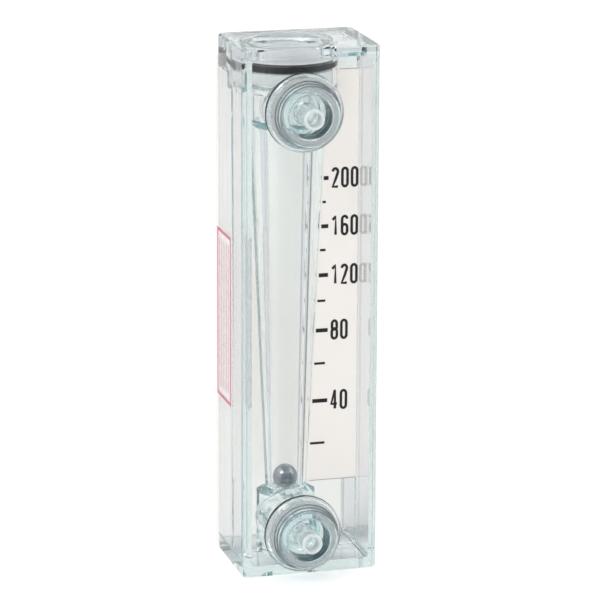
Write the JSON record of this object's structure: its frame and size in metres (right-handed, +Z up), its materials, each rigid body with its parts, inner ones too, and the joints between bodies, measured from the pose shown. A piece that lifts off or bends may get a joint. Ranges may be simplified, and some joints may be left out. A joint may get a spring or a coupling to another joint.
{
  "type": "rotameter",
  "caption": "Small panel flow meter: a steel ball rises in a tapered bore inside a clear moulded case, beside a printed scale, between two tubing ports.",
  "frame": {"origin": "centre of the case's bottom face", "axes": "+Z up along the tube, -Y out of the side with the scale and the ports, +X to the right of a viewer of the scale"},
  "size_m": [0.0265, 0.0313, 0.1016],
  "materials": {
    "clear_body": "clear moulded polycarbonate",
    "ball_steel": "polished stainless steel",
    "clear_plug": "clear moulded polycarbonate",
    "black_ring": "black nitrile rubber",
    "clear_fitting": "clear moulded polycarbonate",
    "card_white": "matt off-white film with black print",
    "plate_white": "matt off-white plastic",
    "label_clear": "clear film with a red printed frame"
  },
  "bodies": {
    "meter": {"case": "clear_body", "top_plug": "clear_plug", "top_plug_o_ring": "black_ring", "inlet_fitting": "clear_fitting", "outlet_fitting": "clear_fitting", "inlet_gasket": "black_ring", "outlet_gasket": "black_ring", "scale_card": "card_white", "back_plate": "plate_white", "side_label": "label_clear"},
    "float": {"float_ball": "ball_steel"}
  },
  "joints": [
    {"name": "float_rise", "type": "slide", "parent": "meter", "child": "float", "axis": [0, 0, 1], "range_m": [0, 0.06653]}
  ]
}
